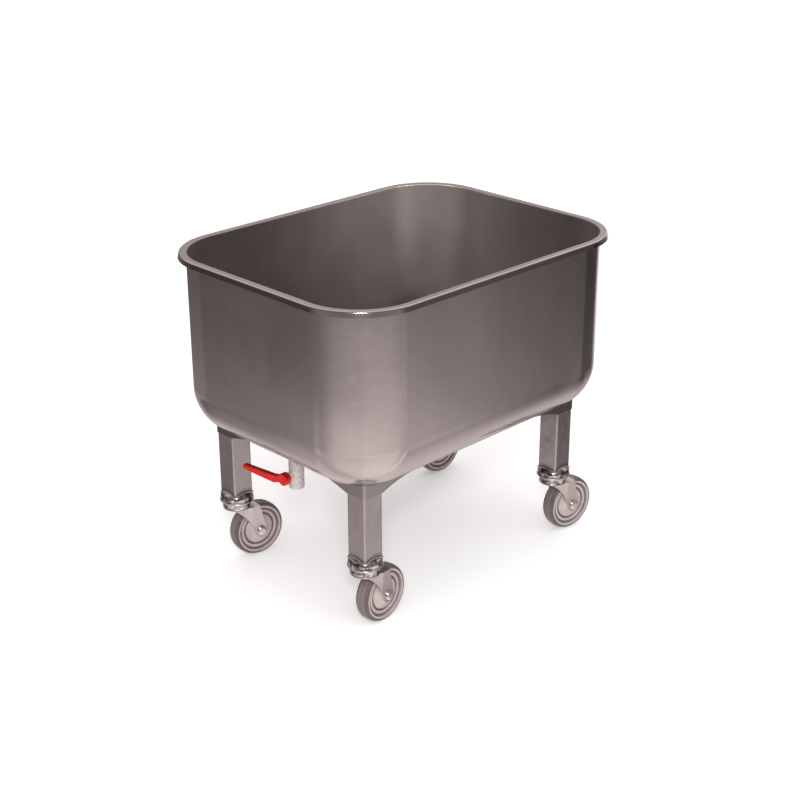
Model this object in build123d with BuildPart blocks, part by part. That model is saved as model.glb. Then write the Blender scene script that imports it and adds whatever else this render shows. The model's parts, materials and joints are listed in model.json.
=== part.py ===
from build123d import *
import os
from math import acos, atan2, cos, hypot, radians, sin, sqrt

# Mobile tank: a pressed stainless tub on four tube legs, with swivel casters and a drain valve below.
# Millimetres, +Z up. The origin is on the floor under the middle of the tank, +X runs along the long
# side and +Y along the short side. Front is -Y, left is -X, where the drain valve is.

# Tank
overall_height = 580.0        # floor to the top of the rim
tank_length = 628.0           # over the outside of the end walls, along X
tank_width = 473.0            # over the outside of the long walls, along Y
tank_depth = 322.0            # top of the rim to the underside of the tank floor
tank_corner_radius = 102.0    # outside of the upright corners
floor_edge_radius = 84.0      # outside of the round edge between walls and tank floor
tank_sheet = 2.0              # sheet thickness
rim_width = 13.5              # flat rim, from the outside of the wall to the outer edge
rim_lip = 9.0                 # height of the edge that is turned down
rim_flare = 14.0              # degrees that this edge leans outwards, so it stops short of upright
rim_bend = 2.5                # outside radius of that bend
rim_roll = 2.0                # radius of the edge between rim and inner wall

# Legs and gussets
leg_side = 40.0               # square tube
leg_wall = 2.0
leg_bend = 1.0                # inside radius of the tube's edges
leg_inset_x = 77.5            # end wall to leg axis
leg_inset_y = 71.5            # long wall to leg axis
gusset_sheet = 1.5
gusset_drop = 10.5            # tank floor down to the gusset's lower edge on the leg
gusset_wing = 86.0            # wing along the tank floor, past the leg
gusset_nose = 1.0             # height left at the wing's tip

# Caster wheel
wheel_diameter = 100.0
tyre_width = 26.0
tyre_height = 9.0             # tread to seat, measured on the radius
tyre_shoulder = 6.0           # radius of the tread's edges
hub_overhang = 3.0            # hub past the tyre, each side
hub_radius = 12.0
bush_radius = 8.0             # outside of the bush
sleeve_radius = 6.0           # outside of the axle sleeve
axle_radius = 4.0             # axle bolt
axle_head_radius = 8.5        # domed bolt head
axle_head_height = 4.5
axle_head_round = 4.0         # radius of the dome's edge
axle_nut_flats = 13.0
axle_nut_height = 6.5
axle_end = 2.0                # thread that shows past the nut
rim_inset = 1.0               # lip of the wheel centre inside the tyre's side
rim_lip_width = 3.0           # light lip beside the tyre, on the radius
rim_groove_width = 2.4        # groove inside the lip
rim_groove_depth = 5.5
rim_band_width = 7.6          # flat band inside the groove
rim_band_recess = 2.0         # band below the lip
ring_groove_width = 2.2       # second groove, round the dished disc
ring_groove_depth = 4.0       # below the band
disc_recess = 1.5             # edge of the dished disc below the band

# Caster fork and swivel
caster_trail = 36.0           # swivel axis to axle
wheel_clearance = 3.0         # tread to the underside of the crown
fork_sheet = 2.5
crown_inset = 3.0             # crown plate inside the edge of the caster head
fork_end_radius = 12.0        # rounded end of a fork leg, round the axle
fork_knee = 13.0              # axle up to where the legs start to spread
fork_spread = 8.3             # how far each leg spreads from there to the crown
fork_crease_top = 14.0        # swivel axis back to the crease of a leg, at the crown
fork_crease_low = 20.0        # the same, at the knee and below
fork_tuck_top = 6.0           # front end of the section drawn in from the lower legs, at the crown
fork_tuck_low = 2.0           # the same, at the knee and below
fork_back = 30.0              # swivel axis back to the rear edge of a leg, at the crown
fork_front = 16.0             # swivel axis forward to the front edge of a leg, at the crown
fork_front_bow = 6.0          # hollow of the front edge
hub_gap = 0.7                 # wheel hub to fork leg, each side
race_height = 11.0            # crown to caster head
race_inset = 4.0              # race ring inside the edge of the head
race_rise = 2.4               # race ring reaching up into the head
race_radial_gap = 0.3
track_gap = 3.6               # race ring to the roof of the head's cavity
swivel_ball = 5.0             # diameter
swivel_ball_count = 18
swivel_ball_pitch = 18.0      # radius of the ring of balls
ball_play = 0.1
king_radius = 5.0             # king bolt
king_head_flats = 17.0
king_head_height = 5.5
king_nut_height = 8.0
king_end = 2.0

# Caster head
head_margin = 1.5             # head past the farthest edge of the leg tube
head_bead = 0.8               # bead round the lower edge, standing proud
head_bead_height = 4.0
head_skirt = 9.5              # lower edge to where the dome starts
head_dome = 13.0              # height of the dome
head_wall = 4.5               # wall round the race's cavity
head_floor = 6.0              # floor between the cavity and the nut's pocket
head_pocket_gap = 1.0         # nut pocket inside the leg tube

# Turn of each caster at rest, degrees from +X, and the corner that it stands under
corners = {
    "front_left": (-1, -1, 5.0),
    "front_right": (1, -1, -8.0),
    "rear_left": (-1, 1, -8.0),
    "rear_right": (1, 1, -4.0),
}

# Drain valve
drain_inset = 77.0            # end wall to the valve's axis
socket_radius = 13.25
socket_length = 8.5
thread_radius = 10.5          # pipe thread between socket and valve
thread_length = 8.0
valve_radius = 13.0
valve_length = 50.5
valve_edge = 2.0              # rounded lower edge
stem_drop = 1.5               # stem axis below the middle of the valve
flow_radius = 5.0
valve_ball_radius = 8.5
chamber_wall = 3.6            # valve body outside the ball's chamber
chamber_end = 9.0             # stem axis to the shoulders that hold the seats
seat_inner = 5.0              # stem axis to the inner face of a seat
outlet_radius = 7.5
outlet_depth = 12.0
boss_radius = 8.0
boss_length = 4.0
packing_flats = 14.0
packing_length = 4.0
stem_radius = 4.0
tang_width = 3.8
tang_height = 7.0
tang_length = 2.8

# Drain lever
lever_length = 108.0          # stem axis to the tip
lever_droop = 12.5            # tip below the stem axis
lever_belly = 29.0            # stem axis to the widest place of the arm
lever_belly_drop = 8.5        # that place below the stem axis
lever_belly_radius = 7.4
lever_neck_radius = 5.5       # arm where it leaves the hub
lever_tip_radius = 5.0
lever_hub_radius = 11.0
lever_hub_thickness = 11.0
lever_arm_thickness = 7.5
lever_plate = 2.5             # steel core
lever_cover = 1.8             # grip past the edge of the core
lever_gap = 0.5               # packing nut to the core
lever_nut_flats = 10.0
lever_nut_height = 4.0
lever_edge = 2.4              # rounded edge of the grip
stop_reach = 18.5             # bare stop tab of the core, from the stem axis
stop_width = 6.0
stop_angle = -135.0           # degrees from level, below the arm

# Clearances
weld_gap = 0.1                # between welded pieces
fit_gap = 0.05                # radial, between shaft and hole
running_gap = 0.3             # between faces that slide past each other

# Levels and places worked out from the sizes above
rim_top = overall_height
tank_floor = rim_top - tank_depth
leg_x = tank_length / 2 - leg_inset_x
leg_y = tank_width / 2 - leg_inset_y
leg_half = leg_side / 2
leg_edge_radius = leg_wall + leg_bend
leg_reach = (leg_half - leg_edge_radius) * sqrt(2) + leg_edge_radius
axle_height = wheel_diameter / 2
crown_bottom = wheel_diameter + wheel_clearance
crown_top = crown_bottom + fork_sheet
head_radius = leg_reach + head_margin
crown_radius = head_radius - crown_inset
head_bottom = crown_top + race_height
head_shoulder = head_bottom + head_skirt
race_top = head_bottom + race_rise
cavity_top = race_top + track_gap
ball_height = (race_top + cavity_top) / 2
pocket_bottom = cavity_top + head_floor
hub_half = tyre_width / 2 + hub_overhang
fork_inner = hub_half + hub_gap
fork_outer = fork_inner + fork_sheet
drain_x = drain_inset - tank_length / 2
valve_top = tank_floor - socket_length
valve_bottom = valve_top - valve_length
stem_height = (valve_top + valve_bottom) / 2 - stem_drop
chamber_radius = valve_radius - chamber_wall
packing_face = valve_radius + boss_length
plate_face = packing_face + packing_length + lever_gap
nut_face = plate_face + lever_plate


def save(piece, name):
    """Label a finished piece and write it under that name."""
    piece.part.label = name
    export_step(piece.part, f"parts/{name}.step")


def tub_solid(grow):
    """The tub as a full block, with its outside moved outwards by grow."""
    with BuildPart() as tub:
        with BuildSketch(Plane.XY.offset(tank_floor - grow)):
            RectangleRounded(tank_length + 2 * grow, tank_width + 2 * grow, tank_corner_radius + grow)
        extrude(amount=tank_depth + grow)
        fillet(tub.faces().sort_by(Axis.Z)[0].edges(), floor_edge_radius + grow)
    return tub.part


def floor_rise(inset):
    """How far the tank's underside lies above its flat floor, at a distance in from a straight wall."""
    short = max(0.0, floor_edge_radius - inset)
    return floor_edge_radius - sqrt(floor_edge_radius**2 - short**2)


def side_plane(sx, sy, turn):
    """Upright plane through a swivel axis: x runs back to the axle, y up, and it faces the front."""
    angle = radians(turn)
    return Plane(
        origin=(sx * leg_x, sy * leg_y, 0),
        x_dir=(cos(angle), sin(angle), 0),
        z_dir=(sin(angle), -cos(angle), 0),
    )


def level_plane(side, height):
    """Level plane at a height, with its origin on the swivel axis and x running back to the axle."""
    return Plane(origin=side.from_local_coords((0, height, 0)), x_dir=side.x_dir, z_dir=(0, 0, 1))


def axle_plane(side):
    """Plane across the axle in the middle of the wheel."""
    return Plane(
        origin=side.from_local_coords((caster_trail, axle_height, 0)), x_dir=side.x_dir, z_dir=side.z_dir
    )


def wheel_section(side):
    """Plane of a wheel's half section: x runs out from the axle and y along it."""
    up = Vector(0, 0, 1)
    return Plane(origin=axle_plane(side).origin, x_dir=up, z_dir=up.cross(side.z_dir))


def swivel_axis(side):
    return Axis(side.origin, (0, 0, 1))


def axle_axis(side):
    return Axis(axle_plane(side).origin, side.z_dir)


def tangent_point(point, centre, radius, turn):
    """Where a line from a point touches a circle, on the side that turn (1 or -1) gives."""
    dx = point[0] - centre[0]
    dy = point[1] - centre[1]
    angle = atan2(dy, dx) + turn * acos(radius / hypot(dx, dy))
    return (centre[0] + radius * cos(angle), centre[1] + radius * sin(angle))


def head_outline(grow):
    """Half section of the caster head's outside: x runs out from the swivel axis and y up."""
    radius = head_radius + grow
    bead = radius + head_bead
    with BuildSketch() as outline:
        with BuildLine():
            Polyline(
                (0, head_bottom),
                (bead, head_bottom),
                (bead, head_bottom + head_bead_height),
                (radius, head_bottom + head_bead_height + head_bead),
                (radius, head_shoulder),
            )
            EllipticalCenterArc((0, head_shoulder), radius, head_dome + grow, start_angle=0, arc_size=90)
            Line((0, head_shoulder + head_dome + grow), (0, head_bottom))
        make_face()
    return outline.sketch


def head_solid(side, grow):
    """The caster head as a full block."""
    outline = head_outline(grow)
    with BuildPart() as block:
        with BuildSketch(side):
            add(outline)
        revolve(axis=swivel_axis(side))
    return block.part


def make_leg_tube(side):
    """Square tube, coped to the tank floor at the top and to the caster head's dome at the bottom."""
    dome = head_solid(side, weld_gap)
    with BuildPart() as tube:
        with BuildSketch(Plane(origin=side.from_local_coords((0, head_shoulder, 0)))):
            RectangleRounded(leg_side, leg_side, leg_edge_radius)
            inner = leg_side - 2 * leg_wall
            RectangleRounded(inner, inner, leg_bend, mode=Mode.SUBTRACT)
        extrude(amount=tank_floor + floor_edge_radius - head_shoulder)
        add(tub_outside, mode=Mode.SUBTRACT)
        add(dome, mode=Mode.SUBTRACT)
    return tube


def make_gusset(sx, sy):
    """Sheet angle folded round the two outer faces of a leg, with a tapered wing on each side."""
    inside = leg_half + weld_gap
    outside = inside + gusset_sheet
    tip = -leg_half - gusset_wing
    low = tank_floor - gusset_drop
    wings = ((Plane.XZ, leg_x, sx, leg_inset_y), (Plane.YZ, leg_y, sy, leg_inset_x))

    def place(a, b):
        return (sx * (leg_x + a), sy * (leg_y + b))

    with BuildPart() as gusset:
        with BuildSketch(Plane.XY.offset(low)) as fold:
            with BuildLine():
                Polyline(
                    place(outside, outside),
                    place(tip, outside),
                    place(tip, inside),
                    place(inside, inside),
                    place(inside, tip),
                    place(outside, tip),
                    close=True,
                )
            make_face()
            bend = leg_edge_radius + weld_gap
            fillet(fold.vertices().sort_by_distance(place(outside, outside))[0], bend + gusset_sheet)
            fillet(fold.vertices().sort_by_distance(place(inside, inside))[0], bend)
        extrude(amount=gusset_drop + floor_edge_radius)
        for plane, axis_place, sign, inset in wings:
            underside = tank_floor + floor_rise(inset - outside)
            wing_root = (sign * (axis_place - leg_half), low)
            wing_tip = (sign * (axis_place + tip), underside - gusset_nose)
            with BuildSketch(plane):
                with BuildLine():
                    TangentArc(wing_tip, wing_root, tangent=(sign, 0))
                    Polyline(wing_root, (wing_tip[0], low), wing_tip)
                make_face()
            extrude(amount=tank_length, both=True, mode=Mode.SUBTRACT)
        add(tub_outside, mode=Mode.SUBTRACT)
    return gusset


def make_caster_head(side):
    """Round head that closes the leg: race cavity below, pocket for the king bolt's nut above."""
    outline = head_outline(0)
    pocket = leg_half - leg_wall - head_pocket_gap
    with BuildPart() as head:
        with BuildSketch(side):
            add(outline)
            with Locations((0, pocket_bottom)):
                Rectangle(
                    pocket,
                    head_dome + head_skirt,
                    align=(Align.MIN, Align.MIN),
                    mode=Mode.SUBTRACT,
                )
            with Locations((0, head_bottom)):
                Rectangle(
                    king_radius + fit_gap,
                    head_dome + head_skirt,
                    align=(Align.MIN, Align.MIN),
                    mode=Mode.SUBTRACT,
                )
                Rectangle(
                    head_radius - head_wall,
                    cavity_top - head_bottom,
                    align=(Align.MIN, Align.MIN),
                    mode=Mode.SUBTRACT,
                )
            with Locations((swivel_ball_pitch, ball_height)):
                Circle(swivel_ball / 2 + ball_play, mode=Mode.SUBTRACT)
        revolve(axis=swivel_axis(side))
    return head


def make_king_bolt(side):
    """Bolt from under the crown up through the head."""
    head_top = crown_bottom - running_gap
    with BuildPart() as bolt:
        with BuildSketch(level_plane(side, head_top - king_head_height)):
            RegularPolygon(king_head_flats / 2, 6, major_radius=False)
        extrude(amount=king_head_height)
        with BuildSketch(level_plane(side, head_top)):
            Circle(king_radius)
        extrude(amount=pocket_bottom + king_nut_height + king_end - head_top)
    return bolt.part


def make_king_nut(side):
    with BuildPart() as nut:
        with BuildSketch(level_plane(side, pocket_bottom)):
            RegularPolygon(king_head_flats / 2, 6, major_radius=False)
            Circle(king_radius + fit_gap, mode=Mode.SUBTRACT)
        extrude(amount=king_nut_height)
    return nut.part


def fork_section(side, height, inset):
    """Level section of the fork: straight sides that bend inwards at the crease and close in front."""
    knee = axle_height + fork_knee
    rise = max(0.0, (height - knee) / (crown_top - knee))
    crease = fork_crease_low + (fork_crease_top - fork_crease_low) * rise
    half = fork_outer + fork_spread * rise - inset
    front_half = fork_outer - fork_tuck_low - (fork_tuck_top - fork_tuck_low) * rise - inset
    front = -head_radius - fork_sheet + inset
    back = caster_trail + 2 * fork_end_radius + inset
    with BuildSketch(level_plane(side, height)) as section:
        with BuildLine():
            Polyline(
                (back, -half),
                (back, half),
                (crease, half),
                (front, front_half),
                (front, -front_half),
                (crease, -half),
                close=True,
            )
        make_face()
    return section.sketch


def make_fork(side):
    """Pressed fork: crown plate and two legs that spread towards the crown."""
    axle = (caster_trail, axle_height)
    foot = axle_height - fork_end_radius
    rear_root = (fork_back, crown_top)
    front_root = (-fork_front, crown_bottom)
    rear_touch = tangent_point(rear_root, axle, fork_end_radius, -1)
    front_touch = tangent_point(front_root, axle, fork_end_radius, 1)
    knee = axle_height + fork_knee
    outer_sections = [fork_section(side, height, 0) for height in (foot, knee, crown_top)]
    inner_sections = [fork_section(side, height, fork_sheet) for height in (foot, knee, crown_bottom)]
    with BuildPart() as fork:
        loft(outer_sections, ruled=True)
        loft(inner_sections, ruled=True, mode=Mode.SUBTRACT)
        with BuildSketch(level_plane(side, crown_bottom)):
            Circle(crown_radius)
        extrude(amount=fork_sheet)
        with BuildSketch(side):
            with BuildLine():
                Polyline(
                    front_root,
                    (-head_radius, crown_bottom),
                    (-head_radius, crown_top),
                    rear_root,
                    rear_touch,
                )
                ThreePointArc(rear_touch, (caster_trail, foot), front_touch)
                SagittaArc(front_touch, front_root, -fork_front_bow)
            make_face()
        extrude(amount=2 * head_radius, both=True, mode=Mode.INTERSECT)
        with BuildSketch(level_plane(side, 0)):
            Circle(crown_radius)
            Rectangle(
                caster_trail + 2 * fork_end_radius,
                2 * (fork_outer + fork_spread),
                align=(Align.MIN, Align.CENTER),
            )
        extrude(amount=crown_top, mode=Mode.INTERSECT)
        with BuildSketch(axle_plane(side)):
            Circle(axle_radius + fit_gap)
        extrude(amount=2 * head_radius, both=True, mode=Mode.SUBTRACT)
        with BuildSketch(level_plane(side, crown_bottom)):
            Circle(king_radius + fit_gap)
        extrude(amount=2 * fork_sheet, both=True, mode=Mode.SUBTRACT)
    return fork


def make_swivel_race(side):
    """Ring on the crown with the lower ball track; its skirt fills the gap under the head."""
    bore = king_radius + fit_gap
    skirt = head_radius - race_inset
    neck = head_radius - head_wall - race_radial_gap
    step = head_bottom - running_gap
    with BuildPart() as race:
        with BuildSketch(side):
            with BuildLine():
                Polyline(
                    (bore, crown_top),
                    (skirt, crown_top),
                    (skirt, step),
                    (neck, step),
                    (neck, race_top),
                    (bore, race_top),
                    close=True,
                )
            make_face()
            with Locations((swivel_ball_pitch, ball_height)):
                Circle(swivel_ball / 2 + ball_play, mode=Mode.SUBTRACT)
        revolve(axis=swivel_axis(side))
    return race


def make_swivel_balls(side):
    with BuildPart(level_plane(side, ball_height)) as balls:
        with PolarLocations(swivel_ball_pitch, swivel_ball_count):
            Sphere(swivel_ball / 2)
    return balls


def make_axle_sleeve(side):
    with BuildPart() as sleeve:
        with BuildSketch(axle_plane(side)):
            Circle(sleeve_radius)
            Circle(axle_radius + fit_gap, mode=Mode.SUBTRACT)
        extrude(amount=fork_inner, both=True)
    return sleeve


def make_axle_bolt(side):
    """Domed bolt from the front leg of the fork through to the nut behind it."""
    with BuildPart() as bolt:
        with BuildSketch(axle_plane(side).offset(fork_outer)):
            Circle(axle_head_radius)
        extrude(amount=axle_head_height)
        fillet(bolt.faces().sort_by(Axis(side.origin, side.z_dir))[-1].edges(), axle_head_round)
        with BuildSketch(axle_plane(side).offset(fork_outer)):
            Circle(axle_radius)
        extrude(amount=-(2 * fork_outer + axle_nut_height + axle_end))
        with BuildSketch(axle_plane(side).offset(-fork_outer)):
            RegularPolygon(axle_nut_flats / 2, 6, major_radius=False)
            Circle(axle_radius + fit_gap, mode=Mode.SUBTRACT)
        extrude(amount=-axle_nut_height)
    return bolt


def make_wheel_bush(side):
    with BuildPart() as bush:
        with BuildSketch(axle_plane(side)):
            Circle(bush_radius)
            Circle(sleeve_radius + fit_gap, mode=Mode.SUBTRACT)
        extrude(amount=hub_half, both=True)
    return bush


def make_wheel_rim(side):
    """Plastic wheel centre: dished disc round the hub, two grooves with a band between, and a lip."""
    seat = wheel_diameter / 2 - tyre_height - fit_gap
    lip = seat - rim_lip_width
    groove = lip - rim_groove_width
    band = groove - rim_band_width
    disc = band - ring_groove_width
    lip_half = tyre_width / 2 - rim_inset
    band_half = lip_half - rim_band_recess
    half_section = [
        (bush_radius + fit_gap, hub_half),
        (hub_radius, hub_half),
        (disc, band_half - disc_recess),
        (disc, band_half - ring_groove_depth),
        (band, band_half - ring_groove_depth),
        (band, band_half),
        (groove, band_half),
        (groove, lip_half - rim_groove_depth),
        (lip, lip_half - rim_groove_depth),
        (lip, lip_half),
        (seat, lip_half),
    ]
    other_half = [(r, -y) for r, y in reversed(half_section)]
    with BuildPart() as rim:
        with BuildSketch(wheel_section(side)):
            with BuildLine():
                Polyline(*half_section, *other_half, close=True)
            make_face()
        revolve(axis=axle_axis(side))
    return rim


def make_tyre(side):
    outer = wheel_diameter / 2
    seat = outer - tyre_height
    with BuildPart() as tyre:
        with BuildSketch(wheel_section(side)):
            with Locations(((outer + seat) / 2, 0)):
                Rectangle(tyre_height, tyre_width)
        revolve(axis=axle_axis(side))
        fillet(tyre.edges().filter_by(GeomType.CIRCLE).group_by(lambda e: e.radius)[-1], tyre_shoulder)
    return tyre


# Tub with its rim: the rim's flat and turned-down edge, the outside, then the hollow and the drain hole
with BuildPart() as tank_shell:
    rim_length = tank_length + 2 * rim_width
    rim_depth = tank_width + 2 * rim_width
    rim_radius = tank_corner_radius + rim_width
    with BuildSketch(Plane.XY.offset(rim_top - rim_lip)):
        RectangleRounded(rim_length, rim_depth, rim_radius)
    extrude(amount=rim_lip, taper=rim_flare)
    fillet(tank_shell.faces().sort_by(Axis.Z)[-1].edges(), rim_bend)
    with BuildSketch(Plane.XY.offset(rim_top - rim_lip)):
        RectangleRounded(rim_length - 2 * tank_sheet, rim_depth - 2 * tank_sheet, rim_radius - tank_sheet)
    extrude(amount=rim_lip - tank_sheet, taper=rim_flare, mode=Mode.SUBTRACT)
    add(tub_solid(0))
    add(tub_solid(-tank_sheet), mode=Mode.SUBTRACT)
    rim_face = tank_shell.faces().sort_by(Axis.Z)[-1]
    fillet(rim_face.inner_wires()[0].edges(), rim_roll)
    with Locations((drain_x, 0, tank_floor)):
        Hole(thread_radius)
save(tank_shell, "tank_shell")

tub_outside = tub_solid(weld_gap)

# Legs, gussets and casters at the four corners
king_bolt_parts = []
king_nut_parts = []
for corner, (sx, sy, turn) in corners.items():
    side = side_plane(sx, sy, turn)
    save(make_leg_tube(side), f"leg_tube_{corner}")
    save(make_gusset(sx, sy), f"corner_gusset_{corner}")
    save(make_caster_head(side), f"caster_head_{corner}")
    save(make_fork(side), f"caster_fork_{corner}")
    save(make_swivel_race(side), f"swivel_race_{corner}")
    save(make_swivel_balls(side), f"swivel_balls_{corner}")
    save(make_axle_sleeve(side), f"axle_sleeve_{corner}")
    save(make_axle_bolt(side), f"axle_bolt_{corner}")
    save(make_wheel_rim(side), f"wheel_rim_{corner}")
    save(make_wheel_bush(side), f"wheel_bush_{corner}")
    save(make_tyre(side), f"tyre_{corner}")
    king_bolt_parts.append(make_king_bolt(side))
    king_nut_parts.append(make_king_nut(side))

with BuildPart() as king_bolts:
    add(king_bolt_parts)
save(king_bolts, "king_bolts")

with BuildPart() as king_nuts:
    add(king_nut_parts)
save(king_nuts, "king_nuts")

# Drain valve: planes across the flow, and one across the stem that faces away from the tank's middle
drain_section = Plane(origin=(drain_x, 0, 0), x_dir=(1, 0, 0), z_dir=(0, -1, 0))
drain_axis = Axis((drain_x, 0, 0), (0, 0, 1))
stem_plane = Plane(origin=(drain_x, 0, stem_height), x_dir=(0, -1, 0), z_dir=(-1, 0, 0))


def drain_level(height):
    return Plane(origin=(drain_x, 0, height))


with BuildPart() as drain_socket:
    with BuildSketch(drain_level(valve_top)):
        Circle(socket_radius)
        Circle(thread_radius, mode=Mode.SUBTRACT)
    extrude(amount=socket_length + floor_edge_radius)
    add(tub_outside, mode=Mode.SUBTRACT)
save(drain_socket, "drain_socket")

with BuildPart() as valve_body:
    with BuildSketch(drain_level(valve_bottom)):
        Circle(valve_radius)
    extrude(amount=valve_length)
    fillet(valve_body.edges().sort_by(Axis.Z)[0], valve_edge)
    with BuildSketch(drain_level(valve_top)):
        Circle(thread_radius - fit_gap)
    extrude(amount=thread_length)
    with BuildSketch(stem_plane):
        Circle(boss_radius)
    extrude(amount=packing_face)
    with BuildSketch(drain_level(valve_bottom)):
        Circle(chamber_radius)
    extrude(amount=stem_height + chamber_end - valve_bottom, mode=Mode.SUBTRACT)
    with BuildSketch(drain_level(stem_height)):
        Circle(flow_radius)
    extrude(amount=valve_top + thread_length - stem_height, mode=Mode.SUBTRACT)
    with BuildSketch(stem_plane):
        Circle(stem_radius + fit_gap)
    extrude(amount=packing_face, mode=Mode.SUBTRACT)
save(valve_body, "valve_body")

with BuildPart() as outlet_insert:
    with BuildSketch(drain_level(valve_bottom)):
        Circle(chamber_radius - fit_gap)
        Circle(flow_radius, mode=Mode.SUBTRACT)
    extrude(amount=stem_height - chamber_end - valve_bottom)
    with BuildSketch(drain_level(valve_bottom)):
        Circle(outlet_radius)
    extrude(amount=outlet_depth, mode=Mode.SUBTRACT)
save(outlet_insert, "outlet_insert")

with BuildPart() as ball_seats:
    with BuildSketch(drain_section):
        for level in (seat_inner, -chamber_end):
            with Locations((flow_radius, stem_height + level)):
                Rectangle(
                    chamber_radius - fit_gap - flow_radius,
                    chamber_end - seat_inner,
                    align=(Align.MIN, Align.MIN),
                )
        with Locations((0, stem_height)):
            Circle(valve_ball_radius + fit_gap, mode=Mode.SUBTRACT)
    revolve(axis=drain_axis)
save(ball_seats, "ball_seats")

# The ball is shown closed, with its bore across the flow, and the stem's tang sits in its slot
with BuildPart(drain_level(stem_height)) as valve_ball:
    Sphere(valve_ball_radius)
    with BuildSketch(Plane(origin=(drain_x, 0, stem_height), z_dir=(0, 1, 0))):
        Circle(flow_radius)
    extrude(amount=2 * valve_ball_radius, both=True, mode=Mode.SUBTRACT)
    with BuildSketch(stem_plane.offset(valve_ball_radius - tang_length - fit_gap)):
        Rectangle(tang_height + 2 * valve_ball_radius, tang_width + 2 * fit_gap)
    extrude(amount=valve_ball_radius, mode=Mode.SUBTRACT)
save(valve_ball, "valve_ball")

with BuildPart() as valve_stem:
    with BuildSketch(stem_plane.offset(valve_ball_radius - tang_length)):
        Rectangle(tang_height, tang_width)
    extrude(amount=tang_length + fit_gap)
    with BuildSketch(stem_plane.offset(valve_ball_radius + fit_gap)):
        Circle(stem_radius)
    extrude(amount=nut_face + lever_nut_height - valve_ball_radius - fit_gap)
save(valve_stem, "valve_stem")

with BuildPart() as packing_nut:
    with BuildSketch(stem_plane.offset(packing_face)):
        RegularPolygon(packing_flats / 2, 6, major_radius=False)
        Circle(stem_radius + fit_gap, mode=Mode.SUBTRACT)
    extrude(amount=packing_length)
save(packing_nut, "packing_nut")


def lever_arm(inset):
    """Arm seen along the stem, drawn in by inset: a neck, a belly and a long taper towards +Y."""
    belly_place = (-lever_belly, -lever_belly_drop)
    with BuildSketch() as neck:
        Circle(lever_neck_radius - inset)
        with Locations(belly_place):
            Circle(lever_belly_radius - inset)
        make_hull()
    with BuildSketch() as arm:
        with Locations(belly_place):
            Circle(lever_belly_radius - inset)
        with Locations((lever_tip_radius - lever_length, -lever_droop)):
            Circle(lever_tip_radius - inset)
        make_hull()
        add(neck.sketch)
    return arm.sketch


def stop_tab(gap):
    """Bare tab of the core that leaves the grip beside the hub, below the arm."""
    with Locations(Location((0, 0), stop_angle)):
        Rectangle(stop_reach + gap, stop_width + 2 * gap, align=(Align.MIN, Align.CENTER))


core_arm = lever_arm(lever_cover)
core_slot = lever_arm(lever_cover - weld_gap)
grip_arm = lever_arm(0)

with BuildPart() as lever_core:
    with BuildSketch(stem_plane.offset(plate_face)):
        add(core_arm)
        Circle(lever_hub_radius - lever_cover)
        stop_tab(0)
        Circle(stem_radius + fit_gap, mode=Mode.SUBTRACT)
    extrude(amount=lever_plate)
save(lever_core, "lever_core")

with BuildPart() as lever_grip:
    with BuildSketch(stem_plane.offset(plate_face)):
        add(grip_arm)
    extrude(amount=lever_arm_thickness)
    fillet(lever_grip.faces().sort_by(Axis.X)[0].edges(), lever_edge)
    with BuildSketch(stem_plane.offset(plate_face)):
        Circle(lever_hub_radius)
    extrude(amount=lever_hub_thickness)
    fillet(lever_grip.faces().sort_by(Axis.X)[0].edges(), lever_edge)
    with BuildSketch(stem_plane.offset(plate_face)):
        add(core_slot)
        Circle(lever_hub_radius - lever_cover + weld_gap)
        stop_tab(weld_gap)
    extrude(amount=lever_plate + weld_gap, mode=Mode.SUBTRACT)
    with BuildSketch(stem_plane.offset(plate_face)):
        Circle(lever_hub_radius - lever_cover)
    extrude(amount=lever_plate + lever_nut_height + running_gap, mode=Mode.SUBTRACT)
save(lever_grip, "lever_grip")

with BuildPart() as lever_nut:
    with BuildSketch(stem_plane.offset(nut_face)):
        RegularPolygon(lever_nut_flats / 2, 6, major_radius=False)
        Circle(stem_radius + fit_gap, mode=Mode.SUBTRACT)
    extrude(amount=lever_nut_height)
save(lever_nut, "lever_nut")
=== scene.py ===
# %% [markdown]
# A mobile tank for the bakery
#
# A stainless tub on four square legs, with swivel casters and a drain valve with a red lever. The solids
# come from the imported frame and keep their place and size. This lesson gives every surface its finish,
# makes the pieces that need softer edges anew, and adds the beads that close the frame's joints.

# %% Load the frame
import bpy, bmesh, json, math
from mathutils import Matrix, Vector

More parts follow.
